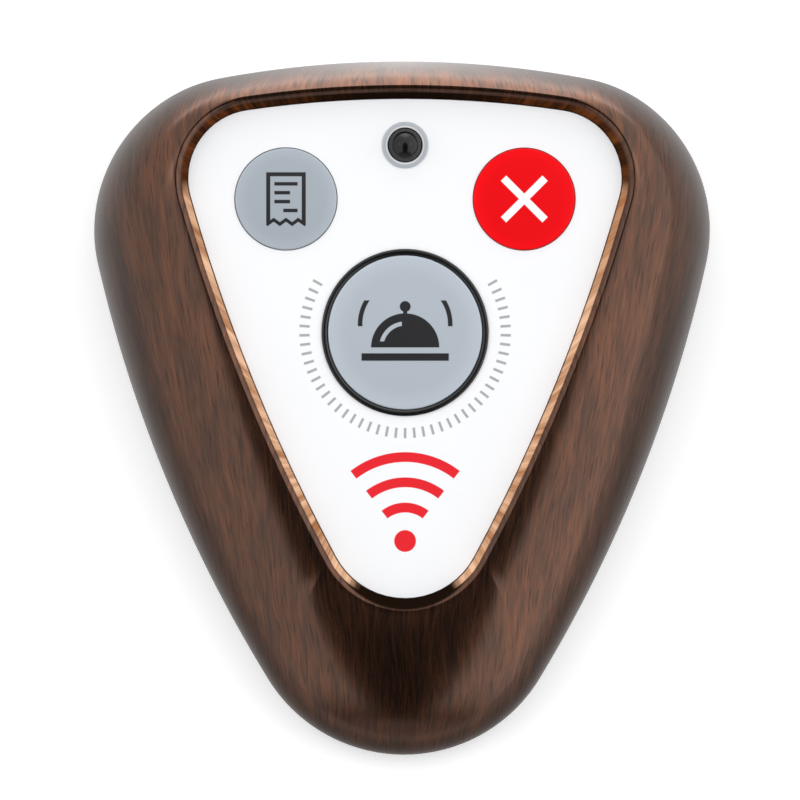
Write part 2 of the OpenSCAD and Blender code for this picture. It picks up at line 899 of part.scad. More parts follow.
module antenna_coil() {
  color("goldenrod")
    on_rim(board_depth - antenna_r - antenna_wire_d / 2 - seat_gap)
      translate([-antenna_turns * antenna_pitch / 2, -antenna_y, 0])
        coil(antenna_r, antenna_r, antenna_turns, antenna_pitch, antenna_wire_d);
}

// --- Battery and its contacts ---

module battery() {
  button_l = 1.4;
  button_d = 0.5 * battery_d;
  color("gold")
    translate([battery_x, battery_y, battery_z])
      rotate([0, 90, 0]) {
        cylinder(d = button_d, h = button_l + 0.1);
        translate([0, 0, button_l])
          cylinder(d = battery_d, h = battery_l - button_l);
      }
}

// Plate that hangs from the board into the bay, with a narrow tail up to the board
module contact_plate(x) {
  tail_w = 1.6;
  board_z = from_rim([0, (battery_y - panel_shift - board_under * sin(panel_tilt)) / cos(panel_tilt),
    -board_under])[2];
  tail_top = board_z - tail_w * sin(panel_tilt) - seat_gap;
  translate([x, battery_y - contact_w / 2, contact_foot_z])
    cube([contact_t, contact_w, battery_z + contact_w / 2 - contact_foot_z]);
  translate([x, battery_y - tail_w / 2, battery_z])
    cube([contact_t, tail_w, tail_top - battery_z]);
}

module positive_contact() {
  color("silver") contact_plate(plus_x);
}

module negative_contact() {
  color("silver") contact_plate(minus_x);
}

module battery_spring() {
  from_x = battery_x + battery_l + seat_gap + spring_wire_d / 2;
  to_x = minus_x - seat_gap - spring_wire_d / 2;
  color("silver")
    translate([from_x, battery_y, battery_z])
      coil(battery_d / 5, battery_d / 3, spring_turns, (to_x - from_x) / spring_turns, spring_wire_d);
}

// --- Base, door, fasteners and feet ---

module base_plate() {
  tall = 3 * shell_z;
  ledge_end = 1.4;
  ledge_side = 0.4;
  ribs = 4;
  rib_front_y = -30;
  rib_back_y = battery_y - bay_half_w - bay_wall + seat_gap;
  color("black")
    difference() {
      union() {
        translate([0, 0, foot_rise])
          linear_extrude(floor_t)
            polygon(outline(body_shape, -base_inset - edge_step));
        translate([0, 0, foot_rise + edge_step])
          linear_extrude(floor_t - edge_step)
            polygon(outline(body_shape, -base_inset));
        translate([0, 0, shell_z - seat_gap])
          linear_extrude(locating_lip_h + seat_gap)
            difference() {
              polygon(outline(body_shape, -locating_inset));
              polygon(outline(body_shape, -locating_inset - locating_lip_t));
            }
        translate([-bay_l / 2 - bay_wall, battery_y - bay_half_w - bay_wall, shell_z - seat_gap])
          cube([bay_l + 2 * bay_wall, 2 * (bay_half_w + bay_wall), bay_h + seat_gap]);
        for (i = [0 : ribs - 1])
          translate([(i - (ribs - 1) / 2) * base_rib_pitch - base_rib_t / 2, rib_front_y, shell_z - seat_gap])
            cube([base_rib_t, rib_back_y - rib_front_y, base_rib_h + seat_gap]);
      }
      translate([-bay_l / 2, battery_y - bay_half_w, shell_z])
        cube([bay_l, 2 * bay_half_w, tall]);
      translate([-bay_l / 2 + ledge_end, battery_y - bay_half_w + ledge_side, 0])
        cube([bay_l - 2 * ledge_end, 2 * (bay_half_w - ledge_side), tall]);
      translate([-door_w / 2 - door_gap, battery_y - door_reach - door_gap, 0])
        cube([door_w + 2 * door_gap, body_l, door_roof_z]);
      translate([
        -door_w / 2 - runner_w - door_gap,
        battery_y - door_reach - door_gap,
        door_top_z - runner_t - door_gap
      ])
        cube([door_w + 2 * runner_w + 2 * door_gap, body_l, runner_t + 2 * door_gap]);
      for (p = case_screw_places)
        translate([p[0], p[1], 0]) {
          cylinder(d = 2 * case_screw_d + 0.4, h = well_head_z);
          cylinder(d = case_screw_d + 0.4, h = tall);
          translate([0, 0, shell_z])
            cylinder(d = case_boss_d + 1, h = tall);
        }
      for (p = foot_places)
        translate([p[0], p[1], 0])
          cylinder(d = foot_d + 0.2, h = foot_rise + foot_seat);
    }
}

module battery_door() {
  groove_w = 1;
  groove_l = door_w / 3;
  groove_depth = 0.4;
  groove_y = battery_y + 2;
  runner_l = door_travel - 1;
  front_y = battery_y - door_reach;
  color("black")
    difference() {
      intersection() {
        union() {
          translate([-door_w / 2, front_y, door_z])
            cube([door_w, body_l, door_t]);
          translate([-door_w / 2 - runner_w, front_y, door_top_z - runner_t])
            cube([door_w + 2 * runner_w, runner_l, runner_t]);
        }
        linear_extrude(2 * shell_z)
          polygon(outline(body_shape, -base_inset));
      }
      for (i = [0 : grip_grooves - 1])
        translate([-groove_l / 2, groove_y + 2 * groove_w * i, door_z - 1])
          cube([groove_l, groove_w, 1 + groove_depth]);
    }
}

// Pan-head screw, head down: the head ends at z = 0 and the shank points up
module pan_screw(d, l) {
  head_h = 0.6 * d;
  slot_w = 0.28 * d;
  tip = 0.8 * d;
  difference() {
    rotate_extrude()
      polygon([[0, -head_h], [0.7 * d, -head_h], [0.92 * d, -0.7 * head_h], [d, -0.3 * head_h], [d, 0],
        [pilot * d / 2, 0], [pilot * d / 2, l - tip], [0.1 * d, l], [0, l]]);
    for (a = [0, 90])
      rotate([0, 0, a])
        translate([-0.6 * d, -slot_w / 2, -head_h - 1])
          cube([1.2 * d, slot_w, 1 + 0.6 * head_h]);
  }
}

module case_screws() {
  color("silver")
    for (p = case_screw_places)
      translate([p[0], p[1], well_head_z])
        pan_screw(case_screw_d, case_screw_l);
}

module board_screws() {
  color("silver")
    for (p = board_screw_places)
      on_rim(board_under)
        translate(p)
          pan_screw(board_screw_d, board_screw_l);
}

module rubber_feet() {
  color("dimgray")
    for (p = foot_places)
      translate([p[0], p[1], 0])
        rotate_extrude()
          polygon([[0, 0], [foot_d / 2 - 0.6, 0], [foot_d / 2 - 0.15, 0.3], [foot_d / 2, 0.8],
            [foot_d / 2, foot_rise + foot_seat - seat_gap], [0, foot_rise + foot_seat - seat_gap]]);
}

top_shell();
base_plate();
battery_door();
face_panel();
panel_carrier();
service_button();
bill_button();
cancel_button();
service_ring();
led_ring();
indicator_led();
led_legs();
led_spacer();
circuit_board();
switch_bodies();
switch_plates();
service_plunger();
bill_plunger();
cancel_plunger();
radio_chip();
resonator_can();
crystal_can();
small_components();
antenna_coil();
battery();
positive_contact();
negative_contact();
battery_spring();
board_screws();
case_screws();
rubber_feet();
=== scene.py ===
"""Waiter call button: smooth shell, keys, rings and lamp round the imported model, and every piece's finish."""

import json
import math

import bmesh
import bpy
import numpy as np
from mathutils import Matrix, Vector


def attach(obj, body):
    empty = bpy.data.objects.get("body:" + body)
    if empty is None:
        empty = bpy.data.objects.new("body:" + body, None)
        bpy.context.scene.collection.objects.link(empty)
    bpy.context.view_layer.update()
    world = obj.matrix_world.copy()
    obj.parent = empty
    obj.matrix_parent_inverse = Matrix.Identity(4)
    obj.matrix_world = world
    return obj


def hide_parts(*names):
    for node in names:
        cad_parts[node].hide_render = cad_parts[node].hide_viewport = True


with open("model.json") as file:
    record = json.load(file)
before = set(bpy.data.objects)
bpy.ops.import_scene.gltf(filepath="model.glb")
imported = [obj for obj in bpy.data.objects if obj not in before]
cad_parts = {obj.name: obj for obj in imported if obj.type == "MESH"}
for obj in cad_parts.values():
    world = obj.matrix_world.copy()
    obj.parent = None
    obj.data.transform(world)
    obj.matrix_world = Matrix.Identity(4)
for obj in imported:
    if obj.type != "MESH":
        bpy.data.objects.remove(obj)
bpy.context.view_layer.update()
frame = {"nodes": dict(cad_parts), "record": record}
nodes = frame["nodes"]

# --- Sizes in millimetres, as the construction has them ---

MM = 0.001
PANEL_TILT = math.radians(10)
PANEL_SHIFT = 6.0
RIM_H = 23.3
SHELL_Z = 4.2
SHELL_WALL = 2.0
SKIN_ARC = math.radians(78)
RECESS_DEPTH = 2.0
RECESS_SLOPE = 1.15
RIM_ROUND = 0.7
RIM_OVERHANG = RIM_ROUND / 7
RIM_CREST = RIM_ROUND * 0.1425
RIM_OFFSET = RECESS_SLOPE + RIM_ROUND
PANEL_T = 1.2
LIP_T = 1.6
LIP_DEPTH = RECESS_DEPTH + PANEL_T
FLANGE_DEPTH = 5.1
SKIRT_DEPTH = 6.1
STEM_DEPTH = 7.0
BOARD_DEPTH = 11.3
SEAT_GAP = 0.05
CASE_SCREWS = [(35.0, 40.5), (-35.0, 40.5), (0.0, -36.0)]
BOARD_SCREWS = [(27.5, -4.0), (-27.5, -4.0), (36.8, 22.0), (-36.8, 22.0)]
# Radius of a screw boss, radius of its hole and depth of its hole
CASE_BOSS = (3.0, 1.34, 7.95)
BOARD_BOSS = (2.4, 1.09, 5.45)

KEY_RISE = 0.3
KEY_CROWN = 0.3
KEY_EDGE_R = 0.25
KEY_TOP_T = 1.4
KEY_SKIRT_T = 1.1
KEY_FLANGE_W = 1.2
KEY_GAP = 0.12
STEM_R = 1.6
SERVICE_R = 11.3
SIDE_KEY_R = 7.45
SERVICE_AT = (0.0, 2.35)
BILL_AT = (-17.45, 21.9)
CANCEL_AT = (17.45, 21.9)

SLEEVE_T = 0.43
SERVICE_RING_W = 0.83
SERVICE_RING_RISE = 0.35
LAMP_AT = (0.0, 29.8)
LAMP_R = 2.5
LAMP_L = 8.6
LAMP_RISE = 2.1
LAMP_FLANGE_W = 0.4
LAMP_FLANGE_T = 1.0
LAMP_GAP = 0.06
LAMP_RING_R = 3.42
LAMP_RING_RISE = 0.25

# Where the photograph puts the panel's middle, and its scale there
IMAGE_SIZE = 800
PANEL_PIXEL = (405.4, 348.5)
MM_PER_PIXEL = 0.1462
CAMERA_DISTANCE = 1000.0
CAMERA_SIDE_ANGLE = -0.022

# Steps along half of the front arc, a side, a corner and half of the back
ARC_STEPS = (54, 72, 102, 42)
WALL_STEPS = 14
ROUND_STEPS = 10


# --- Shapes ---


class Outline:
    """Rounded triangle of six tangent arcs: a front arc, two bowed sides, two corners and a bowed back."""

    def __init__(self, width, length, corner_r, front_r, side_r, back_r):
        front = np.array([0.0, front_r - length / 2])
        back = np.array([0.0, length / 2 - back_r])
        x = width / 2 - corner_r
        corner = np.array([x, back[1] + math.sqrt((back_r - corner_r) ** 2 - x * x)])
        gap = np.linalg.norm(corner - front)
        along = ((side_r - front_r) ** 2 - (side_r - corner_r) ** 2 + gap * gap) / (2 * gap)
        across = math.sqrt((side_r - front_r) ** 2 - along**2)
        way = (corner - front) / gap
        side = front + along * way + across * np.array([-way[1], way[0]])
        self.centres = np.array([front, side, corner, back])
        self.radii = np.array([front_r, side_r, corner_r, back_r])
        ends = [front - side, corner - side, corner - back]
        self.limits = [math.atan2(v[1], v[0]) for v in ends]

    def at(self, facing, grow=0.0):
        """Points where the outline faces these ways: the arc's centre plus its grown radius that way."""
        left = facing > math.pi / 2
        right = np.where(left, math.pi - facing, facing)
        arc = np.searchsorted(self.limits, right, side="right")
        reach = (self.radii[arc] + grow)[..., None]
        p = self.centres[arc] + reach * np.stack([np.cos(right), np.sin(right)], -1)
        p[..., 0] *= np.where(left, -1, 1)
        return p

    def turns(self):
        """Directions once round from the front. Each arc has its own steps, so outlines pair arc by arc."""
        ends = [-math.pi / 2, *self.limits, math.pi / 2]
        arcs = [np.linspace(a, b, n, endpoint=False) for a, b, n in zip(ends, ends[1:], ARC_STEPS)]
        right = np.concatenate(arcs)
        return np.concatenate([right, [math.pi / 2], math.pi - right[:0:-1]])


def eased(turns, reach=22):
    """Directions as a weighted mean over their neighbours, once round, so the steps change gradually."""
    line = np.arange(len(turns)) * 2 * math.pi / len(turns)
    rest = turns - line
    weights = np.hanning(2 * reach + 3)[1:-1]
    wrapped = np.concatenate([rest[-reach:], rest, rest[:reach]])
    return line + np.convolve(wrapped, weights / weights.sum(), "valid")


BODY = Outline(91.97, 103.0, 22.0, 23.5, 210.0, 145.0)
PANEL = Outline(63.8, 73.4, 10.2, 11.6, 260.0, 160.0)
BODY_TURNS = eased(BODY.turns())
PANEL_TURNS = eased(PANEL.turns())


def from_rim(x, y, z):
    """Points of the tilted rim plane in the object's own frame: turned about X by the tilt, then lifted."""
    x, y, z = np.broadcast_arrays(x, y, z)
    c, s = math.cos(PANEL_TILT), math.sin(PANEL_TILT)
    return np.stack([x, PANEL_SHIFT + y * c - z * s, RIM_H + y * s + z * c], -1)


def to_rim(points):
    """Places of points in the tilted rim plane, with their height over it."""
    c, s = math.cos(PANEL_TILT), math.sin(PANEL_TILT)
    y, z = points[..., 1] - PANEL_SHIFT, points[..., 2] - RIM_H
    return np.stack([points[..., 0], y * c + z * s, z * c - y * s], -1)


def rim_points(out, z):
    """Points beside the panel opening, once round: out from it and z over the rim plane."""
    p = PANEL.at(PANEL_TURNS, out)
    return from_rim(p[..., 0], p[..., 1], z)


def skin(phi, inset):
    """Outer skin, once round: at each step an arc of an ellipse, from the foot up to the rim.

    phi is 0 at the foot and SKIN_ARC at the rim. Width goes as 1 - cos(phi) and height as sin(phi),
    and inset moves the point in along the normal."""
    foot = BODY.at(BODY_TURNS)
    rim = rim_points(RIM_OFFSET, 0)
    facing = (BODY_TURNS + PANEL_TURNS) / 2
    way = np.stack([np.cos(facing), np.sin(facing)], -1)
    half_w = ((foot - rim[..., :2]) * way).sum(-1) / (1 - math.cos(SKIN_ARC))
    half_h = (rim[..., 2] - SHELL_Z) / math.sin(SKIN_ARC)
    share_in = (1 - math.cos(phi)) / (1 - math.cos(SKIN_ARC))
    share_up = math.sin(phi) / math.sin(SKIN_ARC)
    flat = foot + (rim[..., :2] - foot) * share_in
    z = SHELL_Z + (rim[..., 2] - SHELL_Z) * share_up
    normal = np.concatenate(
        [way * (half_h * math.cos(phi))[..., None], (half_w * math.sin(phi))[..., None]], -1
    )
    normal /= np.linalg.norm(normal, axis=-1, keepdims=True)
    return np.concatenate([flat, z[..., None]], -1) - inset * normal


def rim_round(t):
    """Rounded rim edge: a quadratic curve from the recess wall (t 0) over to the outer skin (t 1)."""
    share = 1 - RIM_ROUND / RECESS_DEPTH
    start = np.array([RECESS_SLOPE * share, -RECESS_DEPTH * (1 - share)])
    over = np.array([RECESS_SLOPE + RIM_OVERHANG, RIM_CREST])
    end = np.array([RIM_OFFSET, 0.0])
    p = (1 - t) ** 2 * start + 2 * t * (1 - t) * over + t * t * end
    return rim_points(p[0], p[1])


def shell_rows():
    """The wall's section, row by row: lip, recess wall, rim, skin, foot, inner skin, and back to the lip."""
    skin_steps, inner_steps, foot_round = 44, 14, 0.3
    recess = [rim_points(0.0, -LIP_DEPTH)]
    share = 1 - RIM_ROUND / RECESS_DEPTH
    for i in range(WALL_STEPS):
        s = share * i / WALL_STEPS
        recess.append(rim_points(RECESS_SLOPE * s, -RECESS_DEPTH * (1 - s)))
    recess += [rim_round(i / ROUND_STEPS) for i in range(ROUND_STEPS)]
    outer = [skin(SKIN_ARC * (1 - i / skin_steps), 0.0) for i in range(skin_steps)]
    lift = np.array([0.0, 0.0, 1.0])
    for turn in np.linspace(0, math.pi / 2, 4):
        inset = foot_round * (1 - math.cos(turn))
        outer.append(skin(0.0, inset) + lift * foot_round * (1 - math.sin(turn)))
    top = SKIN_ARC - math.radians(10)
    inner = [skin(top * i / inner_steps, SHELL_WALL) for i in range(inner_steps + 1)]
    inner += [rim_points(LIP_T, z) for z in (-RECESS_DEPTH - 0.3, -LIP_DEPTH)]
    return np.stack(recess + outer + inner, 1)


def signed_volume(points, faces):
    """Six times the enclosed volume, positive where the faces point outwards.

    Each face counts as a fan of triangles from its first corner."""
    total = 0.0
    for k in range(1, faces.shape[1] - 1):
        a, b, c = points[faces[:, 0]], points[faces[:, k]], points[faces[:, k + 1]]
        total += (a * np.cross(b, c)).sum()
    return total


def grid_mesh(name, grid, uv=None, closed_rows=True, sharp=35):
    """A mesh over a grid of points in millimetres that goes once round in its first index.

    closed_rows joins the last row to the first too. Otherwise the end rows lie on an axis and
    become poles."""
    n, m = grid.shape[:2]
    i, j = np.meshgrid(np.arange(n), np.arange(m if closed_rows else m - 1), indexing="ij")
    i, j = i.ravel(), j.ravel()
    i2, j2 = (i + 1) % n, (j + 1) % m
    faces = np.stack([i * m + j, i2 * m + j, i2 * m + j2, i * m + j2], 1)
    points = grid.reshape(-1, 3)
    if signed_volume(points, faces) < 0:
        faces = faces[:, ::-1]
    mesh = bpy.data.meshes.new(name)
    mesh.from_pydata((points * MM).tolist(), [], faces.tolist())
    if uv is not None:
        layer = mesh.uv_layers.new(name="film")
        layer.data.foreach_set("uv", uv.reshape(-1, 2)[faces.ravel()].astype(np.float32).ravel())
    if not closed_rows:
        close_poles(mesh)
    mesh.polygons.foreach_set("use_smooth", np.ones(len(mesh.polygons), bool))
    mesh.set_sharp_from_angle(angle=math.radians(sharp))
    return mesh


def close_poles(mesh):
    """Merges the points that share a place, so that the end rows become single points."""
    bm = bmesh.new()
    bm.from_mesh(mesh)
    bmesh.ops.remove_doubles(bm, verts=bm.verts, dist=1e-7)
    bmesh.ops.dissolve_degenerate(bm, edges=bm.edges, dist=1e-8)
    bm.to_mesh(mesh)
    bm.free()


def add_piece(name, mesh, material, body, slot, *replaced):
    """Puts a mesh in the scene as a piece that rides on a body and stands for CAD nodes."""
    obj = bpy.data.objects.new(name, mesh)
    bpy.context.scene.collection.objects.link(obj)
    mesh.materials.append(material)
    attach(obj, body)
    if replaced:
        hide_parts(*replaced)
    return obj


def revolved(name, profile, place, steps=192, sharp=35):
    """A solid of revolution about the panel's normal at a place.

    The profile's radius goes round and its height stays."""
    turn = np.linspace(0, 2 * math.pi, steps, endpoint=False)[:, None]
    r, z = np.array(profile, float).T[:, None, :]
    grid = from_rim(place[0] + r * np.cos(turn), place[1] + r * np.sin(turn), z + 0 * turn)
    on_axis = abs(profile[0][0]) < 1e-9 and abs(profile[-1][0]) < 1e-9
    return grid_mesh(name, grid, closed_rows=not on_axis, sharp=sharp)


def key_profile(r):
    """Half section of a key: crowned top, rounded edge, skirt, retaining flange and a stem."""
    top = KEY_RISE - RECESS_DEPTH
    flat_r = r - KEY_EDGE_R
    x = np.linspace(0, flat_r, 28, endpoint=False)
    crown = np.stack([x, top + KEY_CROWN * (1 - (x / flat_r) ** 2)], -1)
    turn = np.linspace(0, math.pi / 2, 9)
    edge = np.stack([flat_r + KEY_EDGE_R * np.sin(turn), top - KEY_EDGE_R * (1 - np.cos(turn))], -1)
    lower = [
        (r, -FLANGE_DEPTH),
        (r + KEY_FLANGE_W, -FLANGE_DEPTH),
        (r + KEY_FLANGE_W, -SKIRT_DEPTH),
        (r - KEY_SKIRT_T, -SKIRT_DEPTH),
        (r - KEY_SKIRT_T, top - KEY_TOP_T),
        (STEM_R, top - KEY_TOP_T),
        (STEM_R, -STEM_DEPTH),
        (0, -STEM_DEPTH),
    ]
    return np.concatenate([crown, edge, lower]).tolist()


def ring_profile(inner_r, outer_r, seat_r, rise):
    """Section of a trim ring: half an ellipse on the panel and a sleeve down through it."""
    middle, half = (inner_r + outer_r) / 2, (outer_r - inner_r) / 2
    turn = np.linspace(0, math.pi, 17)
    crown = np.stack(
        [middle + half * np.cos(turn), rise / 2 - RECESS_DEPTH + rise / 2 * np.sin(turn)], -1
    )
    base = [(inner_r, -LIP_DEPTH), (seat_r, -LIP_DEPTH), (seat_r, -RECESS_DEPTH), (outer_r, -RECESS_DEPTH)]
    return base + crown.tolist()


def lamp_profile():
    """Half section of the lamp: flange, straight body and a half-round dome."""
    base = LAMP_RISE - RECESS_DEPTH - LAMP_L
    dome_z = base + LAMP_L - LAMP_R
    turn = np.linspace(0, math.pi / 2, 33)
    dome = np.stack([LAMP_R * np.cos(turn), dome_z + LAMP_R * np.sin(turn)], -1)
    dome[-1, 0] = 0
    flange_r = LAMP_R + LAMP_FLANGE_W
    lower = [(0, base), (flange_r, base), (flange_r, base + LAMP_FLANGE_T), (LAMP_R, base + LAMP_FLANGE_T)]
    return lower + dome.tolist()


# --- Shader maths ---


class Wire:
    """A socket in a node tree. Arithmetic on it adds Math nodes."""

    def __init__(self, tree, socket):
        self.tree, self.socket = tree, socket

    def calc(self, operation, *others):
        return add_node(
            self.tree, "ShaderNodeMath", {"operation": operation}, dict(enumerate([self, *others]))
        )

    def __add__(self, other):
        return self.calc("ADD", other)

    def __mul__(self, other):
        return self.calc("MULTIPLY", other)

    def __sub__(self, other):
        return self.calc("SUBTRACT", other)

    def __truediv__(self, other):
        return self.calc("DIVIDE", other)

    def __rsub__(self, other):
        return self * -1 + other

    def __neg__(self):
        return self * -1

    def __abs__(self):
        return self.calc("ABSOLUTE")

    def __pow__(self, other):
        return self.calc("POWER", other)

    def least(self, other):
        return self.calc("MINIMUM", other)

    def most(self, other):
        return self.calc("MAXIMUM", other)

    __radd__ = __add__


def add_node(tree, kind, settings=None, values=None, out=0):
    """Adds a node: its settings first, then the values or links of its sockets. Returns one output."""
    node = tree.nodes.new(kind)
    for key, value in (settings or {}).items():
        setattr(node, key, value)
    for key, value in (values or {}).items():
        if isinstance(value, Wire):
            tree.links.new(value.socket, node.inputs[key])
        else:
            node.inputs[key].default_value = value
    return Wire(tree, node.outputs[out])


def mix(tree, share, a, b):
    """Colour between a (share 0) and b (share 1)."""
    a, b = [c if isinstance(c, Wire) else (*c, 1.0) for c in (a, b)]
    return add_node(tree, "ShaderNodeMix", {"data_type": "RGBA"}, {0: share, 6: a, 7: b}, out=2)


def step(value, low, high):
    """Smooth step of a value: 0 at low, 1 at high."""
    settings = {"interpolation_type": "SMOOTHSTEP"}
    return add_node(value.tree, "ShaderNodeMapRange", settings, {0: value, 1: low, 2: high})


def noise(tree, x, y, z=0.0, detail=3.0, roughness=0.55):
    """Noise over coordinates that are already in cells."""
    place = add_node(tree, "ShaderNodeCombineXYZ", None, {0: x, 1: y, 2: z})
    values = {"Vector": place, "Scale": 1.0, "Detail": detail, "Roughness": roughness}
    return add_node(tree, "ShaderNodeTexNoise", None, values)


def split(tree, vector):
    """The three parts of a vector."""
    first = add_node(tree, "ShaderNodeSeparateXYZ", None, {0: vector})
    return [Wire(tree, first.socket.node.outputs[k]) for k in range(3)]


def object_mm(tree):
    """Object coordinates in millimetres."""
    place = add_node(tree, "ShaderNodeTexCoord", out=3)
    return [part * 1000.0 for part in split(tree, place)]


def panel_mm(tree):
    """Object coordinates along the panel, in millimetres from its middle."""
    x, y, z = object_mm(tree)
    c, s = math.cos(PANEL_TILT), math.sin(PANEL_TILT)
    return x, (y - PANEL_SHIFT) * c + (z - RIM_H) * s


def bump(tree, height, strength, distance):
    """Normal from a height, distance in millimetres."""
    return add_node(
        tree, "ShaderNodeBump", None, {"Height": height, "Strength": strength, "Distance": distance * MM}
    )


def material(name, build, **shader):
    """A material whose build function adds its patterns and returns the links of the Principled sockets."""
    made = bpy.data.materials.new(name)
    made.use_nodes = True
    tree = made.node_tree
    surface = next(n for n in tree.nodes if n.type == "BSDF_PRINCIPLED")
    for key, value in shader.items():
        surface.inputs[key.replace("_", " ")].default_value = value
    for key, value in build(tree).items():
        tree.links.new(value.socket, surface.inputs[key])
    return made


# --- Printed marks, as signed distances in millimetres that are negative inside ---


def box_mark(x, y, cx, cy, half_w, half_h):
    """Distance to an upright box: the larger of the two sides' distances."""
    return (abs(x - cx) - half_w).most(abs(y - cy) - half_h)


def disc_mark(x, y, cx, cy, r):
    """Distance to a disc."""
    dx, dy = x - cx, y - cy
    return (dx * dx + dy * dy) ** 0.5 - r


def bell_mark(x, y):
    """Table bell: half a disc over a gap and a bar, a knob on top, and two ringing arcs beside it."""
    dome = disc_mark(x, y, 0, -2.2, 5.0).most(-2.2 - y)
    shine = (abs(disc_mark(x, y, 0, -2.2, 3.5)) - 0.3).most((x + 0.5).most(-1.3 - y))
    bar = box_mark(x, y, 0, -3.6, 6.4, 0.55)
    knob = disc_mark(x, y, 0, 3.8, 0.8)
    neck = box_mark(x, y, 0, 3.0, 0.3, 0.5)
    ringing = abs(disc_mark(x, y, 0, 1.2, 6.6)) - 0.34
    ringing = ringing.most(abs(y - 2.8) - 1.9).most(4.4 - abs(x))
    return dome.most(-shine).least(bar).least(knob).least(neck).least(ringing)


def receipt_mark(x, y):
    """Receipt: an outlined sheet with a zigzag foot and four printed lines."""
    zigzag = abs((x / 1.8).calc("FRACT") - 0.5) * 1.3
    sheet = (abs(x) - 2.9).most(y - 3.9).most(-4.0 + zigzag - y)
    frame_line = abs(sheet + 0.3) - 0.3
    lines = box_mark(x, y, 0, 2.2, 1.7, 0.26)
    for cx, cy, half in ((-0.55, 0.9, 1.15), (-0.55, -0.4, 1.15), (0.65, -1.7, 1.05)):
        lines = lines.least(box_mark(x, y, cx, cy, half, 0.26))
    return frame_line.least(lines)


def cross_mark(x, y):
    """Two crossed bars."""
    p, q = (x + y) * 0.7071, (x - y) * 0.7071
    return box_mark(p, q, 0, 0, 4.3, 0.55).least(box_mark(p, q, 0, 0, 0.55, 4.3))


def waves_mark(x, y):
    """Three arcs over a dot, which open upwards by 38 degrees to each side."""
    arcs = disc_mark(x, y, 0, 0, 1.6)
    sector = (abs(x) * math.cos(math.radians(38)) - y * math.sin(math.radians(38))).most(-y)
    for r in (4.9, 8.6, 12.3):
        arcs = arcs.least((abs(disc_mark(x, y, 0, 0, r)) - 0.72).most(sector))
    return arcs


def tick_mark(x, y):
    """Radial ticks on an arc that runs below the large key, from 147 degrees round to 33 degrees."""
    pitch = math.radians(5.2)
    radius = (x * x + y * y) ** 0.5
    angle = x.calc("ARCTAN2", -y) / pitch
    off_tick = abs((angle + 0.5).calc("FRACT") - 0.5) * pitch * radius
    tick = (off_tick - 0.19).most(abs(radius - 14.75) - 0.75)
    return tick.most(y * 0.839 - abs(x) * 0.545)


def ink(mark, edge=0.05):
    """Share of ink at a mark's distance."""
    return step(mark, edge, -edge)


# --- Finishes ---


def wood_film(tree):
    """Wood-pattern film shaded as near metal: fine streaks fan out from the front.

    In the recess its colour holds painted shade: a deep brown, near black in the middle of the back and front
    walls. Along the long side walls it holds painted light in pale copper."""
    u, v, _ = [part * 1000.0 for part in split(tree, add_node(tree, "ShaderNodeUVMap", {"uv_map": "film"}))]
    # Mesh masks: painted shade over the recess wall, painted light on its long side walls.
    painted_recess_shade, painted_side_light = [
        add_node(tree, "ShaderNodeAttribute", {"attribute_name": name}, out=2) for name in ("painted_recess_shade", "painted_side_light")
    ]
    sway = noise(tree, u * 0.06, v * 0.05, 7.0, 1.0) - 0.5
    across = (u + sway * 3.0) / (v / 290.0 + 1.0)
    patches = noise(tree, across * 0.14, v * 0.05, 1.0, 2.0)
    streaks = noise(tree, across * 0.66, v * 0.07, 2.0, 3.0, 0.6)
    fibres = noise(tree, across * 2.3, v * 0.17, 3.0, 3.0, 0.6)
    pores = noise(tree, across * 3.0, v * 0.21, 4.0, 1.0, 0.5)
    tone = patches * 0.22 + streaks * 0.38 + fibres * 0.40
    film = mix(tree, step(tone, 0.37, 0.65), (0.064, 0.035, 0.025), (0.142, 0.060, 0.033))
    film = mix(tree, step(pores, 0.56, 0.70) * 0.60, film, (0.026, 0.017, 0.014))
    # Painted shade: a deep red-brown for the recess wall.
    painted_shade_film = mix(tree, step(tone, 0.42, 0.62), (0.030, 0.011, 0.005), (0.165, 0.048, 0.013))
    # Painted shade, near black, in the middle of the back and front recess walls.
    painted_shade_film = mix(tree, step(abs(u) + streaks * 12.0, 12.0, 34.0), (0.010, 0.005, 0.003), painted_shade_film)
    film = mix(tree, painted_recess_shade, film, painted_shade_film)
    # Painted light: pale copper where the long side walls of the recess catch the light.
    painted_lit_copper = mix(tree, step(tone, 0.38, 0.62), (0.34, 0.135, 0.050), (0.80, 0.50, 0.32))
    painted_light_share = step(painted_side_light + (streaks - 0.5) * 0.4, 0.25, 0.80)
    film = mix(tree, painted_light_share, film, painted_lit_copper)
    peel = noise(tree, u * 0.9, v * 0.9, 5.0, 2.0)
    return {
        "Base Color": film,
        "Metallic": (1 - painted_recess_shade) * 0.97,
        "Coat Weight": (1 - painted_recess_shade) * 0.34,
        "Roughness": fibres * 0.10 + painted_recess_shade * 0.25 + 0.22,
        "Normal": bump(tree, peel * 0.7 + fibres * 0.3, 0.08, 0.02),
    }


def white_face(tree):
    """Satin white face with its printed marks."""
    x, y = panel_mm(tree)
    cloud = noise(tree, x * 0.08, y * 0.08, 0.0, 2.0)
    white = mix(tree, cloud, (0.895, 0.905, 0.925), (0.925, 0.930, 0.945))
    ticks = ink(tick_mark(x - SERVICE_AT[0], y - SERVICE_AT[1]))
    printed = mix(tree, ticks * 0.85, white, (0.30, 0.305, 0.32))
    printed = mix(tree, ink(waves_mark(x, y + 28.2)), printed, (0.80, 0.012, 0.022))
    grit = noise(tree, x * 5.0, y * 5.0, 0.0, 2.0)
    return {"Base Color": printed, "Roughness": grit * 0.08 + 0.26, "Normal": bump(tree, grit, 0.05, 0.01)}


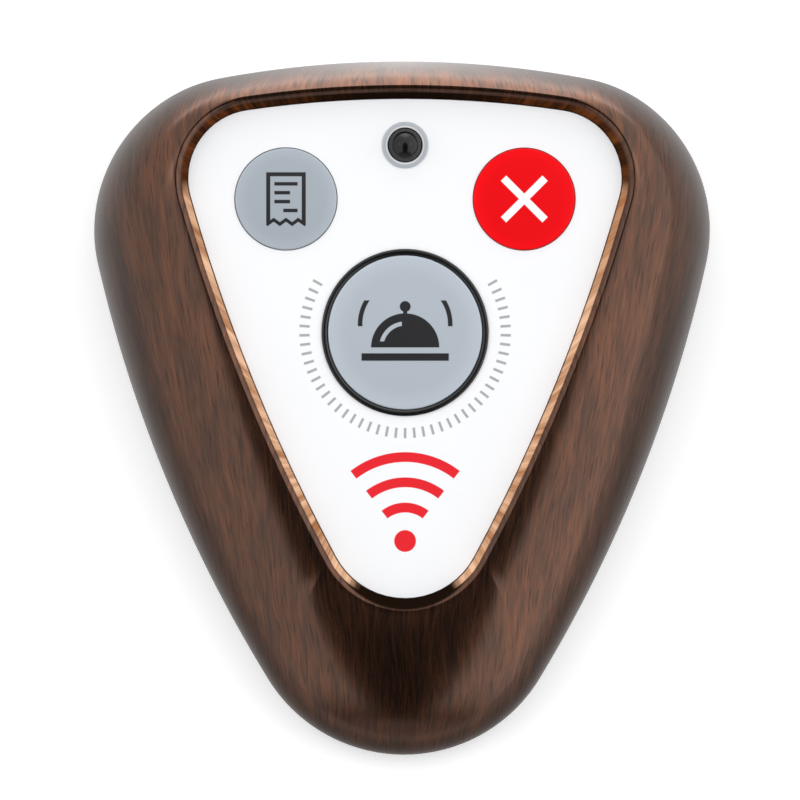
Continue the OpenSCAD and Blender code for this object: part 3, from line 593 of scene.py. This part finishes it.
def painted_key(place, radius, paint, mark, mark_paint):
    """Painted key with a printed mark, fine flakes and a painted highlight that turns it paler towards its
    edge.
    """

    def build(tree):
        x, y = panel_mm(tree)
        x, y = x - place[0], y - place[1]
        flake = noise(tree, x * 9.0, y * 9.0, 0.0, 2.0)
        # Painted highlight: paler colour towards the key's edge.
        rim = step((x * x + y * y) ** 0.5, radius * 0.72, radius * 0.99)
        low, high = [tuple(min(1.0, c * k) for c in paint) for k in (0.95, 1.16)]
        colour = mix(tree, flake * 0.5 + rim * 0.5, low, high)
        colour = mix(tree, ink(mark(x, y)), colour, mark_paint)
        normal = bump(tree, flake, 0.04, 0.01)
        return {"Base Color": colour, "Roughness": flake * 0.1 + 0.30, "Normal": normal}

    return build


def moulded(dark, pale, grain=3.0, rough=0.55, depth=0.03):
    """Moulded plastic or rubber: spark-eroded pits and a slight cloudiness."""

    def build(tree):
        x, y, z = object_mm(tree)
        pits = noise(tree, x * grain, y * grain, z * grain, 2.0, 0.6)
        cloud = noise(tree, x * 0.09, y * 0.09, z * 0.09, 2.0)
        return {
            "Base Color": mix(tree, cloud * 0.5 + pits * 0.5, dark, pale),
            "Roughness": pits * 0.2 + rough,
            "Normal": bump(tree, pits, 0.35, depth),
        }

    return build


def turned_ring(tree):
    """Satin grey ring with fine turned lines and a painted highlight, white, along its inner edge."""
    x, y = panel_mm(tree)
    radius = disc_mark(x, y, *LAMP_AT, 0.0)
    lines = noise(tree, radius * 9.0, 0.0, 0.0, 2.0)
    speckle = noise(tree, x * 6.0, y * 6.0, 0.0, 2.0)
    grey = mix(tree, lines * 0.7 + speckle * 0.3, (0.36, 0.39, 0.42), (0.50, 0.53, 0.57))
    # Painted highlight: white along the ring's inner edge.
    colour = mix(tree, step(radius, 2.86, 2.78), grey, (0.80, 0.81, 0.83))
    return {"Base Color": colour, "Roughness": lines * 0.15 + 0.25, "Normal": bump(tree, lines, 0.2, 0.01)}


def drawn_metal(dark, pale, rough=0.25, grain=4.0):
    """Rolled or drawn metal: fine lines along X and faint stains."""

    def build(tree):
        x, y, z = object_mm(tree)
        lines = noise(tree, x * 0.4, y * grain, z * grain, 2.0)
        stain = noise(tree, x * 0.5, y * 0.5, z * 0.5, 3.0)
        return {
            "Base Color": mix(tree, stain * 0.6 + lines * 0.4, dark, pale),
            "Roughness": lines * 0.15 + rough,
            "Normal": bump(tree, lines, 0.1, 0.01),
        }

    return build


def board_face(tree):
    """Solder mask over copper tracks that run in steps along and across the board."""
    x, y = panel_mm(tree)
    lane = abs((y / 1.9).calc("FRACT") - 0.5)
    column = abs((x / 2.6).calc("FRACT") - 0.5)
    cells = noise(tree, (x / 7.0).calc("FLOOR"), (y / 5.0).calc("FLOOR"), 0.0, 0.0)
    tracks = step(lane, 0.16, 0.13) * step(cells, 0.48, 0.5)
    tracks = tracks.most(step(column, 0.14, 0.11) * step(cells, 0.5, 0.48))
    weave = noise(tree, x * 2.0, y * 2.0, 0.0, 2.0)
    mask = mix(tree, weave, (0.014, 0.115, 0.042), (0.022, 0.155, 0.058))
    colour = mix(tree, tracks * 0.6, mask, (0.060, 0.260, 0.085))
    return {"Base Color": colour, "Roughness": weave * 0.1 + 0.25, "Normal": bump(tree, tracks, 0.3, 0.03)}


def battery_sleeve(tree):
    """Shrink sleeve in two colours, with a printed plus at the button end."""
    x, y, z = object_mm(tree)
    scuff = noise(tree, x * 1.5, y * 3.0, z * 3.0, 3.0)
    gold = mix(tree, scuff, (0.60, 0.42, 0.11), (0.72, 0.52, 0.15))
    black = mix(tree, scuff, (0.012, 0.012, 0.013), (0.022, 0.022, 0.024))
    colour = mix(tree, step(x, 3.0, 3.2), gold, black)
    plus = box_mark(x, y, -9.0, 36.0, 1.4, 0.3).least(box_mark(x, y, -9.0, 36.0, 0.3, 1.4))
    colour = mix(tree, ink(plus), colour, (0.02, 0.02, 0.02))
    return {"Base Color": colour, "Roughness": scuff * 0.12 + 0.24}


DARK_INK = (0.012, 0.012, 0.014)
WHITE_INK = (0.930, 0.920, 0.925)

FINISHES = {
    "wood_film": material("wood_film", wood_film, Coat_Roughness=0.12, Specular_IOR_Level=0.0),
    "white_panel": material("white_panel", white_face),
    "service_paint": material(
        "service_paint",
        painted_key(SERVICE_AT, SERVICE_R, (0.412, 0.458, 0.510), bell_mark, DARK_INK),
    ),
    "bill_paint": material(
        "bill_paint",
        painted_key(BILL_AT, SIDE_KEY_R, (0.356, 0.398, 0.442), receipt_mark, DARK_INK),
    ),
    "cancel_paint": material(
        "cancel_paint",
        painted_key(CANCEL_AT, SIDE_KEY_R, (0.790, 0.0005, 0.004), cross_mark, WHITE_INK),
        Specular_IOR_Level=0.15,
    ),
    "gloss_black": material("gloss_black", moulded((0.004,) * 3, (0.008,) * 3, 2.0, 0.12, 0.004)),
    "pale_ring": material("pale_ring", turned_ring),
    "lamp_lens": material(
        "lamp_lens",
        moulded((0.003, 0.003, 0.003), (0.006, 0.005, 0.005), 0.8, 0.04, 0.003),
        Specular_IOR_Level=0.35,
    ),
    "black_case": material("black_case", moulded((0.014, 0.014, 0.015), (0.024, 0.024, 0.025))),
    "inner_plastic": material(
        "inner_plastic", moulded((0.030, 0.030, 0.032), (0.048, 0.048, 0.05), 1.5, 0.42)
    ),
    "board_laminate": material("board_laminate", board_face),
    "switch_black": material("switch_black", moulded((0.010,) * 3, (0.020,) * 3, 4.0, 0.40, 0.01)),
    "plunger_ivory": material(
        "plunger_ivory", moulded((0.62, 0.59, 0.48), (0.70, 0.67, 0.56), 2.0, 0.38, 0.01)
    ),
    "tin_plate": material("tin_plate", drawn_metal((0.46, 0.46, 0.44), (0.62, 0.62, 0.60)), Metallic=1.0),
    "steel_screw": material(
        "steel_screw", drawn_metal((0.34, 0.34, 0.35), (0.52, 0.52, 0.52), 0.3), Metallic=1.0
    ),
    "copper_wire": material(
        "copper_wire", drawn_metal((0.50, 0.20, 0.08), (0.66, 0.30, 0.13), 0.2), Metallic=1.0
    ),
    "battery_jacket": material("battery_jacket", battery_sleeve),
    "ceramic": material("ceramic", moulded((0.36, 0.27, 0.16), (0.46, 0.35, 0.22), 3.0, 0.45, 0.01)),
    "rubber_foot": material("rubber_foot", moulded((0.018,) * 3, (0.032,) * 3, 2.2, 0.72, 0.04)),
}


# --- Pieces ---


def film_layout(points):
    """Flat place of each point on the film: from above, and moved outwards by its depth below the rim."""
    away = points[..., :2] - [0.0, PANEL_SHIFT]
    away /= np.linalg.norm(away, axis=-1, keepdims=True)
    return (points[..., :2] - away * 0.9 * to_rim(points)[..., 2:]) * MM


def mark_film(mesh, points):
    """Masks for the recess wall: painted shade all round it, over the rim's round at the front too, and painted
    light on its long sides.
    """
    rows = np.arange(points.shape[1])[None, :]
    depth = -to_rim(points)[..., 2]
    inside = rows < WALL_STEPS + ROUND_STEPS
    forward = -np.sin(PANEL_TURNS)[:, None]
    # At the front the painted shade reaches on over the rim's round.
    last = WALL_STEPS + 4 + 6 * np.clip(forward * 3 - 2, 0, 1)
    painted_recess_shade = np.where(inside, np.clip((last - rows) / 3, 0, 1), 0.0)
    # Painted light on the deeper part of the long side walls, none at the back.
    painted_side_light = np.where(inside, np.clip((depth - 0.35) / 0.3, 0, 1), 0.0)
    painted_side_light *= np.clip((np.abs(np.cos(PANEL_TURNS)) - 0.45) / 0.35, 0, 1)[:, None]
    painted_side_light *= np.clip((forward + 0.15) / 0.5, 0, 1)
    for name, values in (("painted_recess_shade", painted_recess_shade), ("painted_side_light", painted_side_light)):
        mesh.attributes.new(name, "FLOAT", "POINT").data.foreach_set("value", values.ravel())


def build_shell():
    """The wood-look shell as one closed surface: the section's rows carried once round."""
    points = shell_rows()
    mesh = grid_mesh("shell", points, film_layout(points))
    mark_film(mesh, points)
    add_piece("shell", mesh, FINISHES["wood_film"], "housing", "wood_film", "top_shell")


def roof_heights(u, v, samples):
    """Heights of a sampled surface over places u, v.

    At each place a plane is fitted to the samples nearby, and the nearest ones count most."""
    du = samples[:, 0] - u[:, None]
    dv = samples[:, 1] - v[:, None]
    weight = np.exp(-(du * du + dv * dv) / 0.5)
    terms = np.stack([np.ones_like(du), du, dv], -1)
    left = np.einsum("qs,qsi,qsj->qij", weight, terms, terms)
    right = np.einsum("qs,qsi,s->qi", weight, terms, samples[:, 2])
    return np.linalg.solve(left, right[..., None])[:, 0, 0]


def boss_grid(place, radius, hole_r, hole_top, to_boss, from_boss, roof):
    """A screw boss: a blind hole from below, and a top that ends inside the shell's wall."""
    samples = to_boss(roof) - [*place, 0.0]
    samples = samples[np.hypot(samples[:, 0], samples[:, 1]) < radius + 4.0]
    turn = np.linspace(0, 2 * math.pi, 48, endpoint=False)
    rows = [(0.0, hole_top), (hole_r, hole_top), (hole_r, 0.0), (radius, 0.0)]
    u = [r * np.cos(turn) for r, _ in rows]
    v = [r * np.sin(turn) for r, _ in rows]
    w = [np.full(len(turn), z) for _, z in rows]
    for r in (radius, radius * 0.66, radius * 0.33, 0.0):
        u.append(r * np.cos(turn))
        v.append(r * np.sin(turn))
        w.append(roof_heights(u[-1], v[-1], samples))
    u, v, w = (np.stack(part, 1) for part in (u, v, w))
    return from_boss(u + place[0], v + place[1], w)


def build_bosses():
    """The shell's screw bosses, inside it: three upright ones and four along the panel's normal."""
    roof = np.concatenate([skin(phi, SHELL_WALL / 3) for phi in np.linspace(0, SKIN_ARC, 90)])
    case_z, board_z = SHELL_Z + SEAT_GAP, -BOARD_DEPTH + SEAT_GAP
    together = bmesh.new()
    for place in CASE_SCREWS:
        grid = boss_grid(
            place,
            *CASE_BOSS,
            lambda p: p - [0, 0, case_z],
            lambda x, y, z: np.stack([x, y, z + case_z], -1),
            roof,
        )
        together.from_mesh(grid_mesh("boss", grid, closed_rows=False))
    for place in BOARD_SCREWS:
        grid = boss_grid(
            place,
            *BOARD_BOSS,
            lambda p: to_rim(p) - [0, 0, board_z],
            lambda x, y, z: from_rim(x, y, z + board_z),
            roof,
        )
        together.from_mesh(grid_mesh("boss", grid, closed_rows=False))
    mesh = bpy.data.meshes.new("shell_bosses")
    together.to_mesh(mesh)
    together.free()
    add_piece("shell_bosses", mesh, FINISHES["inner_plastic"], "housing", "wood_film", "top_shell")


def build_keys():
    """The three keys, smooth over their crowns."""
    keys = [
        ("service", SERVICE_R, SERVICE_AT, "grey_key"),
        ("bill", SIDE_KEY_R, BILL_AT, "grey_key"),
        ("cancel", SIDE_KEY_R, CANCEL_AT, "red_key"),
    ]
    for name, r, place, slot in keys:
        mesh = revolved(name + "_key_cap", key_profile(r), place)
        paint = FINISHES[name + "_paint"]
        add_piece(name + "_key_cap", mesh, paint, name + "_key", slot, name + "_button")


def build_rings_and_lamp():
    """The two trim rings and the lamp."""
    inner = SERVICE_R + KEY_GAP
    profile = ring_profile(inner, inner + SERVICE_RING_W, inner + SLEEVE_T, SERVICE_RING_RISE)
    mesh = revolved("black_ring", profile, SERVICE_AT, 256)
    add_piece("black_ring", mesh, FINISHES["gloss_black"], "housing", "gloss_black", "service_ring")
    inner = LAMP_R + LAMP_GAP
    profile = ring_profile(inner, LAMP_RING_R, inner + SLEEVE_T, LAMP_RING_RISE)
    mesh = revolved("lamp_ring", profile, LAMP_AT, 160)
    add_piece("lamp_ring", mesh, FINISHES["pale_ring"], "housing", "pale_ring", "led_ring")
    mesh = revolved("lamp", lamp_profile(), LAMP_AT, 128)
    add_piece("lamp", mesh, FINISHES["lamp_lens"], "housing", "lamp_lens", "indicator_led")


def dress_nodes():
    """Gives each CAD node the finish of its slot in the record."""
    for row in frame["record"]["subparts"]:
        finish = FINISHES.get(row["material_slot"])
        if finish is not None:
            data = nodes[row["node"]].data
            data.materials.clear()
            data.materials.append(finish)


# --- Stage ---


def ray_kind(tree):
    """Whether the light path is a camera ray, and whether it is a glossy one."""
    outputs = tree.nodes.new("ShaderNodeLightPath").outputs
    return Wire(tree, outputs["Is Camera Ray"]), Wire(tree, outputs["Is Glossy Ray"])


def world_light():
    """Soft surround, white to the camera. Glossy rays see bright sides and back, and a dark front."""
    world = bpy.data.worlds.new("studio")
    bpy.context.scene.world = world
    world.use_nodes = True
    tree = world.node_tree
    tree.nodes.clear()
    x, y, _ = split(tree, add_node(tree, "ShaderNodeTexCoord"))
    p, q = x / 0.30, (y + 0.42) / 0.52
    side = step(p * p + q * q, 0.7, 1.5) * step(y, -0.97, -0.70) * (x * 0.30 + 1.40)
    front = step(y, -0.89, -0.95) * 0.50
    seen = side + front + step(y - abs(x) * 0.45, 0.45, 0.95) * 2.3
    spot = ((abs(x) - 0.62) * (abs(x) - 0.62) + (y + 0.02) * (y + 0.02)) ** 0.5
    seen = seen + step(spot, 0.13, 0.05) * 1.6
    camera, glossy = ray_kind(tree)
    light = camera + glossy * seen + (1 - camera - glossy) * 0.62
    shade = add_node(tree, "ShaderNodeBackground", None, {"Color": (1, 1, 1, 1), "Strength": light})
    tree.links.new(shade.socket, tree.nodes.new("ShaderNodeOutputWorld").inputs["Surface"])


def softbox(name, place, size, power):
    """An area lamp that faces the object and isn't seen in its gloss."""
    lamp = bpy.data.lights.new(name, "AREA")
    lamp.shape = "RECTANGLE"
    lamp.size, lamp.size_y = size
    lamp.energy = power
    obj = bpy.data.objects.new(name, lamp)
    bpy.context.scene.collection.objects.link(obj)
    obj.location = place
    obj.visible_glossy = False
    aim = Vector((0, 0.006, 0.02)) - obj.location
    obj.rotation_euler = aim.to_track_quat("-Z", "Y").to_euler()


def build_floor():
    """Floor that shows as white to the camera and keeps the object's shadow.

    Glossy rays see a dark front, a pale surround and a bright back instead."""
    mesh = bpy.data.meshes.new("floor")
    r = 2.5
    mesh.from_pydata([(-r, -r, 0), (r, -r, 0), (r, r, 0), (-r, r, 0)], [], [(0, 1, 2, 3)])
    floor = bpy.data.objects.new("floor", mesh)
    bpy.context.scene.collection.objects.link(floor)
    made = bpy.data.materials.new("floor")
    made.use_nodes = True
    tree = made.node_tree
    surface = next(n for n in tree.nodes if n.type == "BSDF_PRINCIPLED")
    surface.inputs["Base Color"].default_value = (0.86, 0.86, 0.86, 1)
    surface.inputs["Roughness"].default_value = 0.9
    surface.inputs["Specular IOR Level"].default_value = 0.0
    x, y, _ = object_mm(tree)
    away = ((x * x + y * y) ** 0.5).most(1.0)
    front = step(-y - abs(x) * 0.5, 20.0, 90.0) * 0.20
    seen = step(away, 48.0, 110.0) * 0.50 + step(y - abs(x) * 0.7, 30.0, 120.0) * 2.6 - front + 0.46
    camera, glossy = ray_kind(tree)
    lit = add_node(
        tree,
        "ShaderNodeAddShader",
        None,
        {
            0: Wire(tree, surface.outputs[0]),
            1: add_node(tree, "ShaderNodeEmission", None, {"Strength": camera * 0.32}),
        },
    )
    mirrored = add_node(tree, "ShaderNodeEmission", None, {"Strength": seen})
    both = add_node(tree, "ShaderNodeMixShader", None, {0: glossy, 1: lit, 2: mirrored})
    output = next(n for n in tree.nodes if n.type == "OUTPUT_MATERIAL")
    tree.links.new(both.socket, output.inputs["Surface"])
    mesh.materials.append(made)


def place_camera():
    """Camera a metre away along the panel's normal, shifted so that the panel's middle lands on its pixel."""
    c, s = math.cos(PANEL_TILT), math.sin(PANEL_TILT)
    right, up, normal = Vector((1, 0, 0)), Vector((0, c, s)), Vector((0, -s, c))
    turn = Matrix.Rotation(CAMERA_SIDE_ANGLE, 3, up)
    right, normal = turn @ right, turn @ normal
    data = bpy.data.cameras.new("camera")
    data.sensor_width = 36.0
    data.lens = data.sensor_width * CAMERA_DISTANCE / (IMAGE_SIZE * MM_PER_PIXEL)
    data.shift_x = (IMAGE_SIZE / 2 - PANEL_PIXEL[0]) / IMAGE_SIZE
    data.shift_y = (PANEL_PIXEL[1] - IMAGE_SIZE / 2) / IMAGE_SIZE
    data.clip_start, data.clip_end = 0.05, 20
    obj = bpy.data.objects.new("camera", data)
    bpy.context.scene.collection.objects.link(obj)
    middle = Vector((0, PANEL_SHIFT, RIM_H)) * MM
    turned = Matrix((right, up, normal)).transposed().to_4x4()
    obj.matrix_world = Matrix.Translation(middle + normal * CAMERA_DISTANCE * MM) @ turned
    bpy.context.scene.camera = obj


place_camera()
build_floor()
world_light()
softbox("left_box", (-0.82, 0.10, 0.66), (1.1, 1.1), 5.4)
softbox("right_box", (0.82, 0.10, 0.66), (1.1, 1.1), 5.4)
softbox("back_box", (0.0, 1.0, 0.45), (1.2, 0.6), 3.6)
bpy.context.scene.view_settings.view_transform = "Standard"

dress_nodes()
build_shell()
build_bosses()
build_keys()
build_rings_and_lamp()
